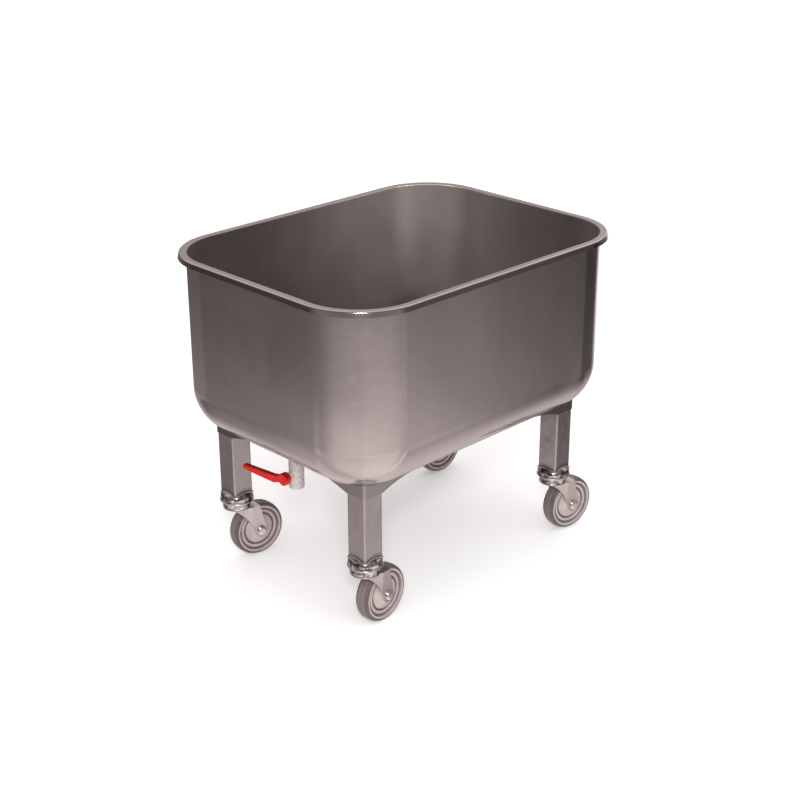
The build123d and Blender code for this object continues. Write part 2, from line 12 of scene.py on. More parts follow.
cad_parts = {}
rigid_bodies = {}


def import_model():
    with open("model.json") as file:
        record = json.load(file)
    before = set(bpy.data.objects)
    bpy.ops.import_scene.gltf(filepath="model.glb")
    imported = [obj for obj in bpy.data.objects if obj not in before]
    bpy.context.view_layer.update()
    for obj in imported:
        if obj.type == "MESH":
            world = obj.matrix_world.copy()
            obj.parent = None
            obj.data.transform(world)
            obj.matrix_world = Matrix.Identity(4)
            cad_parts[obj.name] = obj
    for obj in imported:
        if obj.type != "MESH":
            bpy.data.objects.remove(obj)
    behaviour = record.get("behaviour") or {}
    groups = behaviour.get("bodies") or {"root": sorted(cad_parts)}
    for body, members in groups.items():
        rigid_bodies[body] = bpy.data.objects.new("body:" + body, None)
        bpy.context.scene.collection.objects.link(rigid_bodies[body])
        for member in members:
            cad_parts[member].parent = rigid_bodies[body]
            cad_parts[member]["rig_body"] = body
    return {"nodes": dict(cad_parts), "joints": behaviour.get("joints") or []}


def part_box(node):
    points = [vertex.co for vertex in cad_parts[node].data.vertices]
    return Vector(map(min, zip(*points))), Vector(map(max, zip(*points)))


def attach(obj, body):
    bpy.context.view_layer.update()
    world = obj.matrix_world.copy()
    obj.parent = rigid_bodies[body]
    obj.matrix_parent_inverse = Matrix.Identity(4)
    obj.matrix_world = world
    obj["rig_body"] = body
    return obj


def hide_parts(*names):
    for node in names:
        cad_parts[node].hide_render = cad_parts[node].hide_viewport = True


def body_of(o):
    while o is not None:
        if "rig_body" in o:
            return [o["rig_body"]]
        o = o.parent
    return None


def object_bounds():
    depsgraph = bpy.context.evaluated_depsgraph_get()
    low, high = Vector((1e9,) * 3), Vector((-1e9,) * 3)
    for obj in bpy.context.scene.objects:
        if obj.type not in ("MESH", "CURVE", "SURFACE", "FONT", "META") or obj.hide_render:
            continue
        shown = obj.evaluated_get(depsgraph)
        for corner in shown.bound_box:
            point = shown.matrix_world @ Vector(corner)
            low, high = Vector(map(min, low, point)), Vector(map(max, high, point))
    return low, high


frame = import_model()
cad_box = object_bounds()
nodes = frame["nodes"]
joints = {joint["name"]: joint for joint in frame["joints"]}
scene = bpy.context.scene

# %% [markdown]
# Camera
#
# The photograph looks down on the near left corner with a longish lens. A constraint could aim the camera at
# the tub, but three plain turns, around the upright, down, and about its own axis, keep each angle readable.
# The Standard view shows every level as the lights make it, without a film curve.

# %% Camera at the photograph's place
camera_place = Vector((-1.70189, -1.73280, 1.33811))
camera_heading = math.radians(45.416)
camera_tilt = math.radians(23.441)
camera_roll = math.radians(-0.129)
quarter_turn = math.radians(90)
camera_data = bpy.data.cameras.new("camera")
camera_data.sensor_width = 36.0
camera_data.lens = 67.86
camera = bpy.data.objects.new("camera", camera_data)
scene.collection.objects.link(camera)
camera.matrix_world = (
    Matrix.Translation(camera_place)
    @ Matrix.Rotation(camera_heading - quarter_turn, 4, "Z")
    @ Matrix.Rotation(quarter_turn - camera_tilt, 4, "X")
    @ Matrix.Rotation(camera_roll, 4, "Z")
)
scene.camera = camera
scene.view_settings.view_transform = "Standard"
print("lens:", camera_data.lens, "mm")

# %% [markdown]
# A short hand for shader nodes
#
# A finish is a small network of nodes. They could be added and linked one by one, but written as sums and
# products a network reads like a recipe. So one class wraps a socket and turns arithmetic into Math nodes,
# and another adds any other node in a single call.

# %% Values that add their own Math nodes


class Line:
    """A value on its way through a recipe: arithmetic on it adds Math nodes."""

    def __init__(self, recipe, socket):
        self.recipe = recipe
        self.socket = socket

    def math(self, operation, first, second):
        return self.recipe.node("ShaderNodeMath", {"operation": operation}, {0: first, 1: second})

    def __add__(self, other):
        return self.math("ADD", self, other)

    def __radd__(self, other):
        return self.math("ADD", other, self)

    def __sub__(self, other):
        return self.math("SUBTRACT", self, other)

    def __rsub__(self, other):
        return self.math("SUBTRACT", other, self)

    def __mul__(self, other):
        return self.math("MULTIPLY", self, other)

    def __rmul__(self, other):
        return self.math("MULTIPLY", other, self)


# %% Any other node in one call


class Recipe:
    """The nodes of one material or of the world."""

    def __init__(self, owner):
        owner.use_nodes = True
        self.tree = owner.node_tree

    def feed(self, socket, value):
        """A link from another value, or else a constant on the socket itself."""
        if isinstance(value, Line):
            self.tree.links.new(value.socket, socket)
        else:
            socket.default_value = value

    def node(self, kind, settings=None, sockets=None, output=0):
        """Any node: its settings first, a ramp's stops among them, then its sockets."""
        made = self.tree.nodes.new(kind)
        for name, value in (settings or {}).items():
            if name == "stops":
                ramp = made.color_ramp.elements
                for place, level in value[len(ramp):]:
                    ramp.new(place)
                for stop, (place, level) in zip(ramp, value):
                    stop.position = place
                    stop.color = (level, level, level, 1.0)
            else:
                setattr(made, name, value)
        for name, value in (sockets or {}).items():
            self.feed(made.inputs[name], value)
        return Line(self, made.outputs[output])

    def shade(self, value, *stops):
        """A soft ramp of levels over a value from 0 to 1."""
        return self.node("ShaderNodeValToRGB", {"stops": stops}, {0: value})


# %% [markdown]
# Floor
#
# The tank stands on a pale floor that runs out of the picture. A sweep could be modelled for it, but one
# large face is enough. A little light of its own keeps it pale. It stays out of the steel's reflections,
# because a pale floor in them would make the tub's walls too light.

# %% Pale floor
floor_half = 20.0
floor_tint = (0.93, 0.965, 0.97, 1)
floor_light = (0.97, 1.0, 1.0, 1)
floor_light_strength = 0.24
floor_roughness = 0.9
floor_shape = bmesh.new()
bmesh.ops.create_grid(floor_shape, x_segments=1, y_segments=1, size=floor_half)
floor_mesh = bpy.data.meshes.new("floor")
floor_shape.to_mesh(floor_mesh)
floor_shape.free()
floor = bpy.data.objects.new("floor", floor_mesh)
scene.collection.objects.link(floor)
floor.visible_glossy = False

floor_paint = bpy.data.materials.new("floor_paint")
floor_shader = Recipe(floor_paint).tree.nodes["Principled BSDF"]
floor_shader.inputs["Base Color"].default_value = floor_tint
floor_shader.inputs["Emission Color"].default_value = floor_light
floor_shader.inputs["Emission Strength"].default_value = floor_light_strength
floor_shader.inputs["Roughness"].default_value = floor_roughness
floor_mesh.materials.append(floor_paint)
print("floor:", 2 * floor_half, "m wide")

# %% [markdown]
# Room
#
# Polished steel shows little of its own colour: what is seen is the room around it. A studio could be built
# from screens and lamps. Here the world's background is the room, because its light can then be drawn by
# direction alone: by heading round the room, and by height above or depth below the horizon.

# %% Directions in the room
room = bpy.data.worlds.new("room")
scene.world = room
studio = Recipe(room)
direction = studio.node("ShaderNodeTexCoord")
height = studio.node("ShaderNodeSeparateXYZ", {}, {0: direction}, output=2)
depth = 0.0 - height
full_turn = 2 * math.pi
camera_side = 225.4
right_side = camera_side + 90.0


def facing(heading):
    """How far a direction points along a level heading in degrees, from -1 to 1."""
    turn = math.radians(heading)
    aim = (math.cos(turn), math.sin(turn), 0.0)
    return studio.node("ShaderNodeVectorMath", {"operation": "DOT_PRODUCT"}, {0: direction, 1: aim}, output=1)


turned = studio.node("ShaderNodeMath", {"operation": "ARCTAN2"},
                     {0: facing(right_side), 1: facing(camera_side)})
around = turned * (1 / full_turn) + 0.5


def by_heading(*stops):
    """Levels round the room, by degrees from the camera's side, with its right counted up."""
    return studio.shade(around, *[(degrees / 360.0 + 0.5, level) for degrees, level in stops])


print("camera's side of the room:", camera_side, "degrees")

# %% [markdown]
# Walls of the room
#
# Each upright wall of the tub mirrors only a few degrees of the room, some way below the horizon, while a
# round corner sweeps past half of it. So the room's walls are a ramp of levels by heading, with close stops
# where a wall of the tub looks and slow changes in between. Lower down they grow lighter, towards the pale
# floor. The horizon is light in front and behind, and dark at both sides, where the rim's edge mirrors it.

# %% Walls and horizon
walls = by_heading(
    (-180, 0.18), (-144, 0.24), (-115, 0.26), (-104, 0.27), (-99, 0.23), (-97, 0.155), (-95.5, 0.17),
    (-93, 0.235), (-92, 0.25), (-90.5, 0.225), (-87, 0.21), (-81, 0.215), (-72, 0.24), (-60, 0.25),
    (-47, 0.23), (-18, 0.168), (0, 0.168), (36, 0.285), (52, 0.335), (66, 0.35), (87, 0.41), (90.5, 0.42),
    (93, 0.25), (96.5, 0.12), (105, 0.10), (135, 0.13), (165, 0.18), (180, 0.18),
)
lower = studio.shade(
    depth, (0.0, 0.24), (0.2, 0.3), (0.27, 0.42), (0.33, 0.57), (0.355, 0.72), (0.385, 0.98), (0.413, 1.55),
    (0.45, 1.95), (0.65, 2.0), (0.85, 2.3), (1.0, 2.3),
)
horizon = by_heading(
    (-180, 0.2), (-160, 0.16), (-140, 0.1), (-112, 0.0), (-80, 0.0), (-60, 0.21), (60, 0.24), (75, 0.0),
    (104, 0.0), (118, 0.1), (140, 0.12), (160, 0.16), (180, 0.2),
)
not_low = studio.shade(depth, (0.0, 1.0), (0.16, 0.9), (0.3, 0.0))
not_high = studio.shade(height, (0.0, 1.0), (0.08, 0.8), (0.2, 0.0))
print("room nodes with its walls:", len(studio.tree.nodes))

# %% [markdown]
# Shade low in the room
#
# The tub's floor edge is round, so it mirrors the room from its walls right down to the floor. On the real
# tub it stays dark at first and then turns light in a narrow band, which starts later towards the tub's far
# ends. A limiting depth by heading gives the band that slant: the low room is shaded above it, and clear
# below. A second shade keeps that edge from burning out on the right of the near corner.

# %% Shade of the floor edge
limit = by_heading(
    (-180, 0.645), (-168, 0.672), (-152, 0.715), (-137, 0.722), (-121, 0.70), (-113, 0.655), (-105, 0.593),
    (-100, 0.513), (-95, 0.43), (95, 0.465), (101.5, 0.565), (108.4, 0.63), (117.3, 0.68), (138, 0.71),
    (180, 0.66),
)
limit_steepness = 8.0
over_limit = studio.shade((limit - depth) * limit_steepness + 0.5, (0.2, 0.0), (0.8, 1.0))
low_room = studio.shade(depth, (0.42, 0.0), (0.46, 1.0))
edge_shade = by_heading(
    (-180, 0.0), (-150, 0.0), (-137, 0.42), (-121, 0.7), (-110, 0.7), (-98, 0.68), (-96, 0.46), (-94.5, 0.0),
    (96, 0.0), (99, 0.5), (104, 0.8), (110, 0.75), (118, 0.5), (128, 0.2), (138, 0.0),
)
right_shade = by_heading(
    (70, 0.0), (82, 0.5), (88.5, 0.5), (90, 0.0), (93, 0.0), (95.5, 0.62), (98, 0.72), (106, 0.0),
)
print("room nodes with its shade:", len(studio.tree.nodes))

# %% [markdown]
# Light from the floor
#
# A pool of light on the floor before the tank brightens its near corner from below. A narrow glow on the left
# reaches the left faces of the legs, and a wide one lights the tub's round floor edge. Lamps under the tank
# would light the legs' other faces too, so these are levels by heading and depth, like the rest of the room.

# %% Pool and glows
pool = by_heading(
    (-74, 0.0), (-66, 0.1), (-60, 0.22), (-47, 0.6), (-18, 1.0), (10, 1.0), (36, 0.66), (58, 0.36),
    (70, 0.27), (86, 0.06), (92, 0.0),
)
pool_depth = studio.shade(depth, (0.36, 0.0), (0.385, 0.30), (0.413, 0.64), (0.45, 0.66), (0.52, 0.38))
left_glow = by_heading(
    (-95, 0.0), (-93.5, 0.08), (-92, 0.14), (-90, 0.12), (-88, 0.0), (-86, 0.06), (-84.7, 0.36),
    (-83.3, 0.36), (-81, 0.0),
)
left_glow_depth = studio.shade(depth, (0.40, 0.0), (0.43, 0.8), (0.45, 1.0), (0.55, 1.0), (0.62, 0.0))
floor_glow = by_heading(
    (-180, 0.25), (-160, 0.3), (-135, 0.22), (-118, 0.1), (36, 0.1), (55, 0.0), (76, 0.1), (88, 0.5),
    (100, 0.66), (112, 0.5), (122, 0.5), (140, 0.47), (160, 0.38), (180, 0.25),
)
floor_glow_depth = studio.shade(depth, (0.44, 0.0), (0.52, 0.4), (0.85, 1.0))
print("room nodes with its floor light:", len(studio.tree.nodes))

# %% [markdown]
# Ceiling and far light
#
# The level rim mirrors the ceiling, which is bright behind the tank and dim over the camera. A light strip
# behind the tank draws a bright line down its far right corner, and a faint lift on the right keeps the top
# of the long wall from going black.

# %% Ceiling, strip and lift
ceiling = by_heading(
    (-180, 1.0), (-125, 0.85), (-90, 0.4), (-60, 0.15), (60, 0.15), (90, 0.4), (125, 0.85), (180, 1.0),
)
ceiling_height = studio.shade(
    height, (0.0, 0.0), (0.12, 0.06), (0.28, 0.43), (0.31, 0.37), (0.36, 0.42), (0.45, 0.66), (0.6, 0.75),
    (1.0, 0.85),
)
strip = by_heading((140, 0.0), (150, 0.9), (163, 0.9), (174, 0.0))
strip_depth = studio.shade(depth, (0.0, 0.6), (0.33, 1.0), (0.37, 0.42), (0.42, 0.25), (0.5, 0.0))
lift = by_heading((86, 0.0), (90, 0.045), (93, 0.04), (97, 0.025), (104, 0.0))
lift_depth = studio.shade(depth, (0.27, 0.0), (0.31, 1.0), (0.335, 1.0), (0.37, 0.0))
print("room nodes with its ceiling:", len(studio.tree.nodes))

# %% [markdown]
# The whole room
#
# The shades multiply and the lights add up. The sum takes a warm tint, which gives the steel its brownish
# grey. Only the steel and the other pieces see the room: a ray that comes straight from the camera meets a
# pale backdrop instead.

# %% Warm room behind a pale backdrop
shaded_walls = walls * lower * (1.0 - right_shade * low_room)
low_light = floor_glow * floor_glow_depth
whole = (
    (shaded_walls + low_light) * (1.0 - edge_shade * low_room * over_limit)
    + horizon * not_low * not_high
    + left_glow * left_glow_depth
    + pool * pool_depth
    + strip * strip_depth
    + lift * lift_depth
    + ceiling * ceiling_height
)
warm = (1.07, 0.925, 0.91, 1.0)
glow = studio.node("ShaderNodeMix", {"data_type": "RGBA", "blend_type": "MULTIPLY"},
                   {0: 1.0, 6: whole, 7: warm}, output=2)
seen = studio.node("ShaderNodeLightPath")
backdrop = (0.96, 0.96, 0.96, 1.0)
shown = studio.node("ShaderNodeMix", {"data_type": "RGBA"}, {0: seen, 6: glow, 7: backdrop}, output=2)
studio.feed(studio.tree.nodes["Background"].inputs["Color"], shown)
print("room nodes:", len(studio.tree.nodes))

# %% [markdown]
# Lamps
#
# Rubber, plastic and vinyl need light that falls on them, not only a room to mirror. Large panels could give
# it, but a sun with a very wide disc does the same with one lamp, as soft daylight from the camera's side. It
# stays out of reflections, so that the steel shows no wide white disc.

# %% Soft daylight
daylight_way = Vector((0.35, 0.55, -1.0))
sun_data = bpy.data.lights.new("soft_light", "SUN")
sun_data.energy = 2.0
sun_data.angle = math.radians(100)
soft_light = bpy.data.objects.new("soft_light", sun_data)
scene.collection.objects.link(soft_light)
soft_light.rotation_euler = daylight_way.to_track_quat("-Z", "Y").to_euler()
soft_light.visible_glossy = False
print("daylight:", sun_data.energy)

# %% [markdown]
# A small warm lamp above the camera gives bolts, beads and the rim's front corner their glints. An area lamp
# fits, because its size sets how large those glints are.

# %% Lamp above the camera
warm_lamp = (1.0, 0.88, 0.86)
lamp_rise = 0.3
lamp_data = bpy.data.lights.new("camera_lamp", "AREA")
lamp_data.energy = 30.0
lamp_data.size = 0.35
lamp_data.color = warm_lamp
camera_lamp = bpy.data.objects.new("camera_lamp", lamp_data)
scene.collection.objects.link(camera_lamp)
lamp_place = camera_place + Vector((0, 0, lamp_rise))
camera_lamp.location = lamp_place
middle = (cad_box[0] + cad_box[1]) / 2
camera_lamp.rotation_euler = (middle - lamp_place).to_track_quat("-Z", "Y").to_euler()
print("lamp:", lamp_data.energy, "W")

# %% [markdown]
# Inside, the tub is lightest near its far corner and darker towards both ends. A lamp over the tub would
# light all four walls alike. So there are two narrow spots with soft edges, one for each far wall: each
# stands high on the opposite side and aims at its wall beside the corner.

# %% Soft spots into the tub's far corner
spot_distance = 2.5
spot_rise = math.radians(24)
spot_cone = math.radians(10)
spot_edge = 1.0
spot_radius = 0.15
spots = (
    ("left_wall_spot", 272, Vector((0.17, 0.235, 0.55)), 340.0),
    ("right_wall_spot", 178, Vector((0.31, 0.18, 0.55)), 200.0),
)
for spot_name, spot_heading, spot_aim, spot_energy in spots:
    spot_data = bpy.data.lights.new(spot_name, "SPOT")
    spot_data.energy = spot_energy
    spot_data.color = warm_lamp
    spot_data.spot_size = spot_cone
    spot_data.spot_blend = spot_edge
    spot_data.shadow_soft_size = spot_radius
    spot = bpy.data.objects.new(spot_name, spot_data)
    scene.collection.objects.link(spot)
    turn = math.radians(spot_heading)
    level_reach = math.cos(spot_rise)
    back = Vector((math.cos(turn) * level_reach, math.sin(turn) * level_reach, math.sin(spot_rise)))
    spot.location = spot_aim + spot_distance * back
    spot.rotation_euler = back.to_track_quat("Z", "Y").to_euler()
    print(spot_name, spot_energy, "W")

# %% [markdown]
# Finishes
#
# Every finish here is a colour that drifts a little, a roughness that drifts with it, and a fine relief.
# All three come from the same few noises, in metres on the object, so that a smear is both darker and
# duller, as on the real surface. Painted maps could hold them, but noises stay sharp up close and need no
# unwrapping. The class below names those three jobs.

# %% A finish
warm_steel = (1.03, 0.985, 0.97)


class Finish(Recipe):
    """One material, with patterns measured in metres on the object."""

    def __init__(self, name, metallic):
        self.material = bpy.data.materials.new(name)
        super().__init__(self.material)
        self.shader = self.tree.nodes["Principled BSDF"]
        self.shader.inputs["Metallic"].default_value = metallic
        self.place = self.node("ShaderNodeTexCoord", output=3)

    def cloud(self, size, detail=2.0, stretch=(1.0, 1.0, 1.0)):
        """Soft noise from 0 to 1 with patches of about this size; a stretch below 1 draws them out."""
        place = self.node("ShaderNodeMapping", {}, {"Vector": self.place, "Scale": stretch})
        return self.node("ShaderNodeTexNoise", {}, {"Vector": place, "Scale": 1.0 / size, "Detail": detail})

    def cells(self, size):
        """Grains of about this size, from 0 at their middle towards 1."""
        return self.node("ShaderNodeTexVoronoi", {}, {"Vector": self.place, "Scale": 1.0 / size})

    def tint(self, factor, dark, light):
        """A colour between two, by a factor from 0 to 1."""
        colour = self.node("ShaderNodeMix", {"data_type": "RGBA"},
                           {0: factor, 6: (*dark, 1), 7: (*light, 1)}, output=2)
        self.feed(self.shader.inputs["Base Color"], colour)

    def metal(self, factor, dark, light):
        """A steel colour between two levels, a little warm."""
        self.tint(factor, *[[share * level for share in warm_steel] for level in (dark, light)])

    def rough(self, value):
        """A roughness, even or with a pattern."""
        self.feed(self.shader.inputs["Roughness"], value)

    def relief(self, rise):
        """Bump from a height in metres."""
        self.feed(self.shader.inputs["Normal"],
                  self.node("ShaderNodeBump", {}, {"Height": rise, "Distance": 1.0}))


finishes = {}

# %% [markdown]
# Satin tub
#
# The tub is pressed from satin sheet: its reflections are soft and swim a little, because a large thin wall
# is never quite flat, and wiping leaves faint upright smears. Inside it is duller, and its colour there is
# painted darker as shade. Its underside is painted darker too, as shade. The way a surface faces tells these
# apart, so one material serves the whole sheet.

# %% Satin tub
tub = Finish("satin_tub", metallic=1.0)
tub_middle = (0.0, 0.0, 0.55)
patches = tub.cloud(size=0.09, detail=3.0)
wipes = tub.cloud(size=0.03, detail=3.0, stretch=(1.0, 1.0, 0.2))
surface = tub.node("ShaderNodeNewGeometry", output=1)
outward = tub.node("ShaderNodeVectorMath", {"operation": "SUBTRACT"}, {0: tub.place, 1: tub_middle})
facing_out = tub.node("ShaderNodeVectorMath", {"operation": "DOT_PRODUCT"}, {0: surface, 1: outward},
                      output=1)
# Inside, the sheet is rougher, and its darker colour there is painted shade.
inside_dull_and_shaded = tub.node("ShaderNodeMath", {"operation": "LESS_THAN"}, {0: facing_out, 1: 0.0})
facing_up = tub.node("ShaderNodeSeparateXYZ", {}, {0: surface}, output=2)
# Painted shade: the faces that look down are darkened.
painted_underside_shade = tub.shade(0.0 - facing_up, (0.70, 0.0), (0.80, 1.0))
polish_and_inside_shade = 0.47 + 0.53 * (0.6 * (1.0 - inside_dull_and_shaded) + 0.26 * patches + 0.14 * wipes)
tub.metal(polish_and_inside_shade * (1.0 - 0.8 * painted_underside_shade), dark=0.05, light=0.67)
tub.rough(0.115 + 0.08 * patches + 0.04 * wipes + 0.28 * inside_dull_and_shaded)
swell = tub.cloud(size=0.16, detail=0.0)
ripple = tub.cloud(size=0.02, detail=1.0)
grain = tub.cloud(size=0.0007)
tub.relief(0.0016 * swell + 0.00005 * ripple + 0.000006 * grain)
finishes["tub_steel"] = tub.material
print("tub finish nodes:", len(tub.tree.nodes))

# %% [markdown]
# Belt-polished legs
#
# The legs are drawn tube with the lines of the polishing belt along them. Just above the weld to its caster
# head, each leg is painted darker as shade that fades upwards. The painted shade starts at the arch in which
# the square tube meets the round head, so its height comes from the distance to the leg's axis.

# %% Belt-polished legs
leg = Finish("polished_tube", metallic=1.0)
away_range = 0.001  # square metres
painted_shade_height = 0.01
lines = leg.cloud(size=0.0009, detail=3.0, stretch=(1.0, 1.0, 0.03))
smears = leg.cloud(size=0.018, detail=3.0, stretch=(1.0, 1.0, 0.6))
swivel_place = joints["swivel_front_left"]["pos_m"]
leg_height = leg.node("ShaderNodeSeparateXYZ", {}, {0: leg.place}, output=2)
from_axis = []
for axis in (0, 1):
    along = leg.node("ShaderNodeSeparateXYZ", {}, {0: leg.place}, output=axis)
    from_middle = leg.node("ShaderNodeMath", {"operation": "ABSOLUTE"}, {0: along})
    from_axis.append(from_middle - abs(swivel_place[axis]))
away = from_axis[0] * from_axis[0] + from_axis[1] * from_axis[1]
arch = leg.shade(away * (1 / away_range), (0.40, 0.1355), (0.55, 0.1338), (0.75, 0.1297))
# Painted shade just above the weld, fading upwards from the arch.
painted_weld_shade = leg.shade((leg_height - arch) * (1 / painted_shade_height), (0.0, 1.0), (0.45, 0.5), (1.0, 0.0))
leg.metal((0.55 + 0.2 * lines + 0.25 * smears) * (1.0 - 0.85 * painted_weld_shade), dark=0.10, light=0.60)
leg.rough(0.07 + 0.07 * lines + 0.10 * smears)
waves = leg.cloud(size=0.03, detail=1.0)
leg.relief(0.00002 * lines + 0.00035 * waves)
finishes["leg_steel"] = leg.material
print("leg finish nodes:", len(leg.tree.nodes))

# %% [markdown]
# Gussets
#
# The gussets are plain cut sheet. Three of them are painted darker as shade, and the one at the front left
# corner keeps the sheet's lighter level. The two differ only in their levels, so a loop makes both.

# %% Shaded and plain gussets
gussets = {}
# The darker level is painted shade; the lighter one is the sheet's own level.
for name, dark, light in (("stained_sheet", 0.17, 0.32), ("brushed_sheet", 0.36, 0.56)):
    gusset = Finish(name, metallic=1.0)
    blush = gusset.cloud(size=0.02, detail=3.0)
    gusset.metal(blush, dark, light)
    gusset.rough(0.14 + 0.16 * blush)
    rolled = gusset.cloud(size=0.0012)
    gusset.relief(0.00003 * rolled + 0.0002 * blush)
    gussets[name] = gusset.material
print("gusset finishes:", len(gussets))

# %% [markdown]
# Caster metal
#
# The caster heads are polished until they mirror, and patches of haze give them their strong light and dark.
# The beads round them are burnished. The forks are pressed from sheet and tumbled dull, and the bolts and
# nuts are turned bright. One steel could serve them all, but fine scratches, pits and turning marks set them
# apart up close, so each has a finish of its own.

# %% Polished caster heads
head = Finish("polished_head", metallic=1.0)
haze = head.cloud(size=0.009, detail=3.0)
hairlines = head.cloud(size=0.0006, detail=2.0, stretch=(0.08, 0.08, 1.0))
head.metal(head.shade(haze, (0.38, 0.0), (0.62, 1.0)), dark=0.12, light=0.86)
head.rough(0.05 + 0.08 * haze + 0.04 * hairlines)
dents = head.cloud(size=0.012, detail=1.0)
head.relief(0.000006 * hairlines + 0.00012 * dents)
finishes["head_steel"] = head.material
print("head finish nodes:", len(head.tree.nodes))

# %% Burnished beads
bead = Finish("burnished_bead", metallic=1.0)
rubbed = bead.cloud(size=0.004, detail=3.0)
bead.metal(rubbed, dark=0.74, light=0.98)
bead.rough(0.26 + 0.14 * rubbed)
bead.relief(0.00005 * rubbed)
print("bead finish nodes:", len(bead.tree.nodes))

# %% Tumbled forks
fork = Finish("tumbled_fork", metallic=1.0)
mottle = fork.cloud(size=0.007, detail=4.0)
pits = fork.cells(size=0.0011)
fork.metal(0.7 * mottle + 0.3 * pits, dark=0.54, light=0.76)
fork.rough(0.30 + 0.16 * mottle)
fork.relief(0.00004 * pits + 0.0001 * mottle)
finishes["fork_steel"] = fork.material
print("fork finish nodes:", len(fork.tree.nodes))

# %% Bright fasteners
fastener = Finish("bright_fastener", metallic=1.0)
marks = fastener.cloud(size=0.0012, detail=3.0)
tarnish = fastener.cloud(size=0.006, detail=2.0)
fastener.metal(tarnish, dark=0.78, light=0.98)
fastener.rough(0.26 + 0.10 * tarnish + 0.06 * marks)
fastener.relief(0.00002 * marks)
finishes["fastener_steel"] = fastener.material
print("fastener finish nodes:", len(fastener.tree.nodes))

# %% [markdown]
# Wheels
#
# The wheel centre is moulded plastic with a fine spark-eroded skin, and its grooves are darker, with dust
# and painted shade. The tyre is soft grey rubber: duller, with scuffs on the tread, and with pale tracks and
# dark walls that are part wear, part painted sheen and shade. The pieces carry an attribute for this dust,
# wear and shade, so the pattern turns with the wheel and follows its rings.

# %% Moulded wheel centres
centre = Finish("moulded_centre", metallic=0.0)
dust = centre.node("ShaderNodeAttribute", {"attribute_name": "dust"}, output=2)
skin = centre.cells(size=0.0008)
drift = centre.cloud(size=0.016, detail=3.0)
# Grooves darker: dust and painted shade.
centre.tint((0.45 + 0.55 * drift) * (1.0 - 0.8 * dust),
            dark=(0.10, 0.085, 0.082), light=(0.62, 0.535, 0.525))
centre.rough(0.40 + 0.12 * drift + 0.15 * dust)
centre.relief(0.00003 * skin + 0.00004 * drift)
finishes["wheel_grey"] = centre.material
print("wheel centre finish nodes:", len(centre.tree.nodes))

# %% Scuffed rubber
rubber = Finish("scuffed_rubber", metallic=0.0)
wear_and_shade = rubber.node("ShaderNodeAttribute", {"attribute_name": "dust"}, output=2)
scuffs = rubber.cloud(size=0.011, detail=4.0)
grit = rubber.cells(size=0.0013)
# Pale tracks and dark walls: part wear, part painted sheen and shade.
rubber.tint(0.45 * scuffs + 0.5 * wear_and_shade + 0.1 * grit,
            dark=(0.055, 0.047, 0.045), light=(0.27, 0.233, 0.226))
rubber.rough(0.40 + 0.20 * scuffs + 0.10 * wear_and_shade)
rubber.relief(0.00005 * grit + 0.0001 * scuffs)
finishes["tyre_grey"] = rubber.material
print("tyre finish nodes:", len(rubber.tree.nodes))

# %% [markdown]
# Plain bearings
#
# The bushes in the wheels and the seats of the valve ball are white bearing plastic, hidden once the tank is
# put together. They get the same quiet finish in two shades, a little yellower in their depths.

# %% White plain bearings
deep_share = 0.82
deep_blue = 0.96
bright_blue = 0.98
whites = (("bush_white", 0.72), ("seat_white", 0.84))
for slot_name, bright in whites:
    plastic = Finish(slot_name + "_plastic", metallic=0.0)
    veil = plastic.cloud(size=0.003, detail=3.0)
    deep = bright * deep_share
    plastic.tint(veil, dark=(deep, deep, deep * deep_blue), light=(bright, bright, bright * bright_blue))
    plastic.rough(0.38 + 0.14 * veil)
    plastic.relief(0.00002 * veil)
    finishes[slot_name] = plastic.material
print("bearing finishes:", len(whites))

# %% [markdown]
# Valve and lever
#
# The valve is a casting, blasted with shot: many small facets catch the light, so it sparkles pale. They
# could be modelled, but a relief of cells gives them without one more face. The lever is dipped in red vinyl,
# which pools to a glossy skin with a faint orange peel. The side of it that faces up when the lever is closed
# is painted darker, as shade.

# %% Blasted valve
valve = Finish("blasted_valve", metallic=0.55)
facets = valve.cells(size=0.0021)
flecks = valve.cloud(size=0.0016, detail=2.0)
valve.metal(valve.shade(flecks, (0.36, 0.0), (0.56, 1.0)), dark=0.42, light=0.88)
valve.rough(0.30 + 0.22 * flecks)
valve.relief(0.0004 * facets + 0.0003 * flecks)
finishes["valve_steel"] = valve.material
print("valve finish nodes:", len(valve.tree.nodes))

# %% Dipped lever
vinyl = Finish("dipped_vinyl", metallic=0.0)
pooled = vinyl.cloud(size=0.014, detail=2.0)
leaning = vinyl.node("ShaderNodeTexCoord", output=1)
upward = vinyl.node("ShaderNodeSeparateXYZ", {}, {0: leaning}, output=2)
# Painted shade: the side that faces up is darkened.
painted_top_shade = vinyl.shade(upward, (0.15, 0.0), (0.75, 1.0))
vinyl.tint((0.35 + 0.65 * pooled) * (1.0 - 0.85 * painted_top_shade),
           dark=(0.22, 0.001, 0.003), light=(0.80, 0.014, 0.004))
vinyl.rough(0.14 + 0.10 * pooled)
peel = vinyl.cloud(size=0.006, detail=1.0)
vinyl.relief(0.00010 * peel)
finishes["lever_red"] = vinyl.material
print("lever finish nodes:", len(vinyl.tree.nodes))

# %% [markdown]
# Finishes onto the solids
#
# Every solid comes with a material slot whose name says what it is made of, so a finish finds its solids by
# that name. The gussets and the swivel races look different from the rest of their slot and are named here.

# %% Finishes onto the solids
own_finishes = {
    "corner_gusset": gussets["stained_sheet"],
    "corner_gusset_front_left": gussets["brushed_sheet"],
    "swivel_race": head.material,
}
slots = {}
for name, node in nodes.items():
    slots[name] = node.data.materials[0].name.split(".")[0]
    finish = finishes[slots[name]]
    for start, own_finish in own_finishes.items():
        if name.startswith(start):
            finish = own_finish
    node.data.materials[0] = finish
print("solids with a finish:", len(slots))

